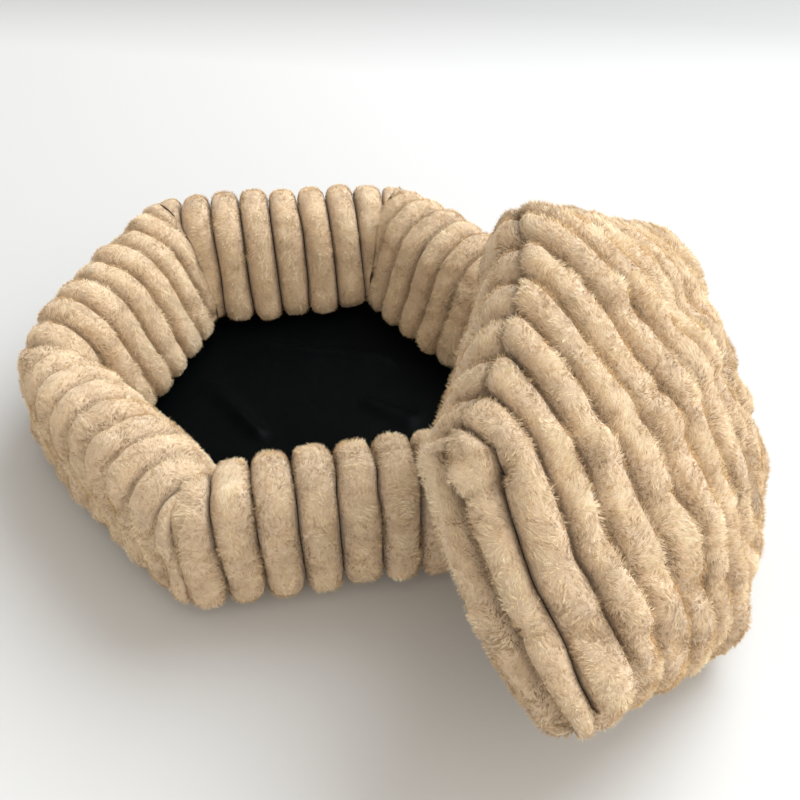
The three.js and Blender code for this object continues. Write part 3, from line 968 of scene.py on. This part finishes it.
def set_inputs(node, values):
    for name, value in values.items():
        node.inputs[name].default_value = value


def add(tree, kind, inputs=None, **settings):
    """A node with its settings and its unlinked inputs."""
    node = tree.nodes.new(kind)
    for name, value in settings.items():
        setattr(node, name, value)
    set_inputs(node, inputs or {})
    return node


def pile_material():
    """The strands: their vertex colours, which hold their tones together with painted shade and painted
    light, soft, with a sheen.
    """
    m, tree, shader = new_material("plush_pile")
    colour = add(tree, "ShaderNodeVertexColor", layer_name="pile_colour")
    tree.links.new(colour.outputs["Color"], shader.inputs["Base Color"])
    set_inputs(shader, {"Roughness": 0.75, "Specular IOR Level": 0.18})
    set_inputs(shader, {"Sheen Weight": 0.35, "Sheen Roughness": 0.45, "Sheen Tint": SHEEN_TINT})
    return m


def backing_material():
    """The plush under the strands: mottled, with painted shade in the grooves, and a fine bump."""
    m, tree, shader = new_material("plush_back")
    place = add(tree, "ShaderNodeTexCoord")
    clouds = add(tree, "ShaderNodeTexNoise", {"Scale": 60.0, "Detail": 4.0, "Roughness": 0.6})
    hairs = add(tree, "ShaderNodeTexNoise", {"Scale": 420.0, "Detail": 3.0, "Roughness": 0.7})
    seam = add(tree, "ShaderNodeAttribute", attribute_name="rise")
    depth = add(tree, "ShaderNodeMapRange", {"From Min": 0.1, "From Max": 0.62})
    # painted shade: the back turns deep brown where the rise is low, in the grooves
    painted_groove_shade = add(tree, "ShaderNodeMix", data_type="RGBA")
    painted_groove_shade.inputs["A"].default_value = (0.17, 0.11, 0.07, 1)
    colours = add(tree, "ShaderNodeValToRGB")
    colours.color_ramp.elements[0].position = 0.3
    colours.color_ramp.elements[0].color = (0.60, 0.47, 0.34, 1)
    colours.color_ramp.elements[1].position = 0.75
    colours.color_ramp.elements[1].color = (0.78, 0.62, 0.44, 1)
    bump = add(tree, "ShaderNodeBump", {"Strength": 0.6, "Distance": 0.0015})
    tree.links.new(place.outputs["Object"], clouds.inputs["Vector"])
    tree.links.new(place.outputs["Object"], hairs.inputs["Vector"])
    tree.links.new(clouds.outputs["Fac"], colours.inputs["Fac"])
    tree.links.new(seam.outputs["Fac"], depth.inputs["Value"])
    tree.links.new(depth.outputs["Result"], painted_groove_shade.inputs["Factor"])
    tree.links.new(colours.outputs["Color"], painted_groove_shade.inputs["B"])
    tree.links.new(painted_groove_shade.outputs["Result"], shader.inputs["Base Color"])
    tree.links.new(hairs.outputs["Fac"], bump.inputs["Height"])
    tree.links.new(bump.outputs["Normal"], shader.inputs["Normal"])
    set_inputs(shader, {"Roughness": 0.9, "Specular IOR Level": 0.15})
    set_inputs(shader, {"Sheen Weight": 0.6, "Sheen Tint": SHEEN_TINT})
    return m


def satin_material():
    """The black base cloth: uneven gloss, soft creases and a fine weave."""
    m, tree, shader = new_material("black_satin")
    place = add(tree, "ShaderNodeTexCoord")
    clouds = add(tree, "ShaderNodeTexNoise", {"Scale": 18.0, "Detail": 3.0, "Roughness": 0.5})
    rough = add(tree, "ShaderNodeMapRange", {"To Min": 0.3, "To Max": 0.42})
    weave = add(tree, "ShaderNodeTexWave", {"Scale": 900.0, "Distortion": 1.5, "Detail": 1.0})
    bump = add(tree, "ShaderNodeBump", {"Strength": 0.08, "Distance": 0.0002})
    soft = add(tree, "ShaderNodeBump", {"Strength": 0.35, "Distance": 0.004})
    tree.links.new(place.outputs["Object"], clouds.inputs["Vector"])
    tree.links.new(place.outputs["Object"], weave.inputs["Vector"])
    tree.links.new(clouds.outputs["Fac"], rough.inputs["Value"])
    tree.links.new(rough.outputs["Result"], shader.inputs["Roughness"])
    tree.links.new(clouds.outputs["Fac"], soft.inputs["Height"])
    tree.links.new(weave.outputs["Fac"], bump.inputs["Height"])
    tree.links.new(soft.outputs["Normal"], bump.inputs["Normal"])
    tree.links.new(bump.outputs["Normal"], shader.inputs["Normal"])
    set_inputs(shader, {"Base Color": (0.0012, 0.002, 0.0022, 1), "Specular IOR Level": 0.02})
    return m


def floor_material():
    """The pale floor, its colour painted lighter in front and greyer towards the far corner, as painted shade
    for the light's falloff.
    """
    m, tree, shader = new_material("studio_floor")
    place = add(tree, "ShaderNodeTexCoord")
    far = add(tree, "ShaderNodeMapRange", {"From Min": -0.5, "From Max": 1.7})
    corner = add(tree, "ShaderNodeVectorMath", {1: (0.45, 1.0, 0)}, operation="DOT_PRODUCT")
    # painted shade: the ramp runs from light in front to grey at the far corner
    pale = add(tree, "ShaderNodeValToRGB")
    for at, grey in ((0.18, 0.56), (0.65, 0.56), (0.83, 0.36)):
        pale.color_ramp.elements.new(at).color = (grey, grey * 1.01, grey * 1.02, 1)
    pale.color_ramp.elements[0].color = (0.67, 0.68, 0.69, 1)
    pale.color_ramp.elements[-1].color = (0.27, 0.275, 0.27, 1)
    tree.links.new(place.outputs["Object"], corner.inputs[0])
    tree.links.new(corner.outputs["Value"], far.inputs["Value"])
    tree.links.new(far.outputs["Result"], pale.inputs["Fac"])
    tree.links.new(pale.outputs["Color"], shader.inputs["Base Color"])
    set_inputs(shader, {"Roughness": 0.6})
    return m


# Stage
def make_floor():
    bpy.ops.mesh.primitive_plane_add(size=14)
    floor = bpy.context.object
    floor.name = "studio_floor"
    floor.data.materials.append(floor_material())


def make_window():
    """A wide soft lamp from behind on the right."""
    data = bpy.data.lights.new("window", "AREA")
    data.shape = "DISK"
    data.size = 3.2
    data.energy = 160
    data.color = (0.87, 0.94, 1.0)
    window = link("window", data)
    window.location = (2.2, 1.3, 2.8)
    ahead = Vector((0.1, -0.1, 0.0)) - window.location
    window.rotation_euler = ahead.to_track_quat("-Z", "Y").to_euler()


def make_room_light():
    """Warm light from all around, brightest low down and on the right."""
    world = bpy.data.worlds.new("studio")
    bpy.context.scene.world = world
    world.use_nodes = True
    tree = world.node_tree
    back = tree.nodes["Background"]
    back.inputs["Color"].default_value = (1.0, 0.94, 0.86, 1)
    way = add(tree, "ShaderNodeTexCoord")
    bright = add(tree, "ShaderNodeVectorMath", {1: (0.75, -0.2, -0.7)}, operation="DOT_PRODUCT")
    strength = add(tree, "ShaderNodeMath", {1: 1.45}, operation="ADD")
    tree.links.new(way.outputs["Generated"], bright.inputs[0])
    tree.links.new(bright.outputs["Value"], strength.inputs[0])
    tree.links.new(strength.outputs[0], back.inputs["Strength"])


# The bed
make_camera()
make_floor()
make_window()
make_room_light()
bpy.context.scene.view_settings.view_transform = "Standard"
plush = backing_material()
fur = pile_material()

for number, row in enumerate(WALLS):
    wall = make_wall(row)
    wall.data.materials.append(plush)
    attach(wall, "root")
    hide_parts(row[0])
    pile(wall, WALL_STRANDS, 100 + number * 10, fur)

cushion = make_cushion()
cushion.data.materials.append(plush)
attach(cushion, "root")
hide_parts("cushion")
pile(cushion, CUSHION_FRONT_STRANDS, 300, fur, "pile_cushion_front", on_front)
pile(cushion, CUSHION_BACK_STRANDS, 330, fur, "pile_cushion_back", on_back)

base, outline, area = make_base_cloth()
base.data.materials.append(satin_material())
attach(base, "root")
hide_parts("base_cloth")
